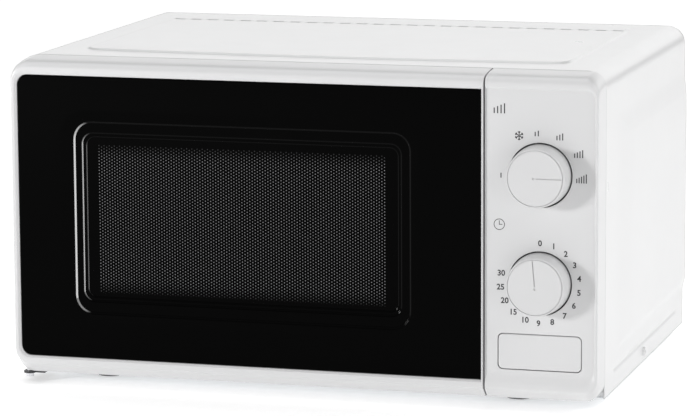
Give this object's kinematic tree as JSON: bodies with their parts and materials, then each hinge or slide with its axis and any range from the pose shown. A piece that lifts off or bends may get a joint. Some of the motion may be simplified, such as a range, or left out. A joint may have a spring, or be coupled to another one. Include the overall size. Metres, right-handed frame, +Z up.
{
  "type": "microwave oven",
  "caption": "Countertop microwave oven with a side-hung door, push-button latch, two dials and a glass turntable.",
  "frame": {"origin": "on the floor, under the middle of the oven's outline", "axes": "+X to the right seen from the front, +Y to the rear, +Z up; the door and dials face -Y"},
  "size_m": [0.4536, 0.3432, 0.2512],
  "materials": {
    "white_paint": "satin",
    "zinc_steel": "satin",
    "cavity_enamel": "satin",
    "white_plastic": "gloss",
    "black_glass": "gloss",
    "screen_steel": "satin",
    "clear_film": "gloss",
    "grey_plastic": "matte",
    "white_nylon": "matte",
    "bright_steel": "polished",
    "aluminium": "satin",
    "copper": "satin",
    "core_iron": "matte",
    "mica": "matte",
    "board_green": "matte",
    "tray_glass": "gloss"
  },
  "bodies": {
    "cabinet": {"outer_cabinet": "white_paint", "base_plate": "zinc_steel", "rear_panel": "zinc_steel", "front_plate": "cavity_enamel", "cavity_box": "cavity_enamel", "feet": "white_nylon", "cabinet_screws": "bright_steel", "cord_gland": "grey_plastic", "waveguide": "zinc_steel", "waveguide_cover": "mica", "magnetron_frame": "aluminium", "magnetron_fins": "aluminium", "magnetron_tube": "copper", "magnetron_filter_box": "zinc_steel", "transformer_core": "core_iron", "transformer_windings": "copper", "capacitor": "aluminium", "capacitor_clamp": "zinc_steel", "high_voltage_diode": "grey_plastic", "fan_shroud": "white_nylon", "fan_motor": "zinc_steel", "lamp_bulb": "tray_glass", "lamp_holder": "white_nylon", "thermal_cutouts": "grey_plastic", "noise_filter_board": "board_green", "mains_fuse": "bright_steel", "interlock_bracket": "white_nylon", "interlock_switches": "grey_plastic", "timer_unit": "white_nylon", "timer_bell": "bright_steel", "control_panel": "white_plastic", "button_spring": "bright_steel", "upper_hinge": "zinc_steel", "lower_hinge": "zinc_steel", "hinge_pins": "bright_steel", "turntable_motor": "zinc_steel"},
    "door": {"door_frame": "white_plastic", "door_glass": "black_glass", "door_screen": "screen_steel", "inner_window": "clear_film", "choke_cover": "grey_plastic", "hook_spring": "bright_steel"},
    "latch": {"hook_bar": "grey_plastic"},
    "button": {"open_button": "white_plastic"},
    "lever": {"release_lever": "white_nylon"},
    "timer_dial": {"timer_shaft": "bright_steel", "timer_knob": "white_plastic"},
    "power_dial": {"power_shaft": "bright_steel", "power_knob": "white_plastic"},
    "turntable": {"turntable_coupler": "white_nylon", "glass_tray": "tray_glass"},
    "ring": {"roller_ring": "white_nylon"},
    "wheel_1": {"roller_wheel_1": "white_nylon"},
    "wheel_2": {"roller_wheel_2": "white_nylon"},
    "wheel_3": {"roller_wheel_3": "white_nylon"},
    "fan": {"fan_shaft": "bright_steel", "fan_blades": "white_nylon"}
  },
  "joints": [
    {"name": "door_hinge", "type": "hinge", "parent": "cabinet", "child": "door", "pos_m": [-0.2186, -0.1426, 0.13], "axis": [0, 0, -1], "range_deg": [0, 100]},
    {"name": "button_push", "type": "slide", "parent": "cabinet", "child": "button", "axis": [0, 1, 0], "range_m": [0, 0.005], "stiffness_N_per_m": 300, "springref_m": -0.003, "deforming": ["button_spring"]},
    {"name": "lever_rock", "type": "hinge", "parent": "cabinet", "child": "lever", "pos_m": [0.155, -0.1241, 0.06276], "axis": [1, 0, 0], "range_deg": [0, 20]},
    {"name": "latch_lift", "type": "slide", "parent": "door", "child": "latch", "axis": [0, 0, 1], "range_m": [0, 0.004], "deforming": ["hook_spring"]},
    {"name": "timer_turn", "type": "hinge", "parent": "cabinet", "child": "timer_dial", "pos_m": [0.182, -0.1546, 0.09688], "axis": [0, 1, 0], "range_deg": [0, 283]},
    {"name": "power_turn", "type": "hinge", "parent": "cabinet", "child": "power_dial", "pos_m": [0.182, -0.1546, 0.17618], "axis": [0, 1, 0], "range_deg": [-180, 0]},
    {"name": "turntable_spin", "type": "hinge", "parent": "cabinet", "child": "turntable", "pos_m": [-0.046, 0.0147, 0.0334], "axis": [0, 0, 1], "continuous": true},
    {"name": "ring_roll", "type": "hinge", "parent": "cabinet", "child": "ring", "pos_m": [-0.046, 0.0147, 0.0334], "axis": [0, 0, 1], "continuous": true},
    {"name": "wheel_1_roll", "type": "hinge", "parent": "ring", "child": "wheel_1", "pos_m": [0.032, 0.0147, 0.0334], "axis": [1, 0, 0], "continuous": true},
    {"name": "wheel_2_roll", "type": "hinge", "parent": "ring", "child": "wheel_2", "pos_m": [-0.085, 0.08225, 0.0334], "axis": [-0.5, 0.866, 0], "continuous": true},
    {"name": "wheel_3_roll", "type": "hinge", "parent": "ring", "child": "wheel_3", "pos_m": [-0.085, -0.05285, 0.0334], "axis": [-0.5, -0.866, 0], "continuous": true},
    {"name": "fan_spin", "type": "hinge", "parent": "cabinet", "child": "fan", "pos_m": [0.1659, 0.1454, 0.14], "axis": [0, 1, 0], "continuous": true}
  ],
  "couplings": [
    {"joint": "lever_rock", "follows": "button_push", "rad_per_m": 69.813},
    {"joint": "latch_lift", "follows": "button_push", "ratio": 0.8},
    {"joint": "ring_roll", "follows": "turntable_spin", "ratio": 0.5},
    {"joint": "wheel_1_roll", "follows": "turntable_spin", "ratio": -5.5714},
    {"joint": "wheel_2_roll", "follows": "turntable_spin", "ratio": -5.5714},
    {"joint": "wheel_3_roll", "follows": "turntable_spin", "ratio": -5.5714}
  ]
}
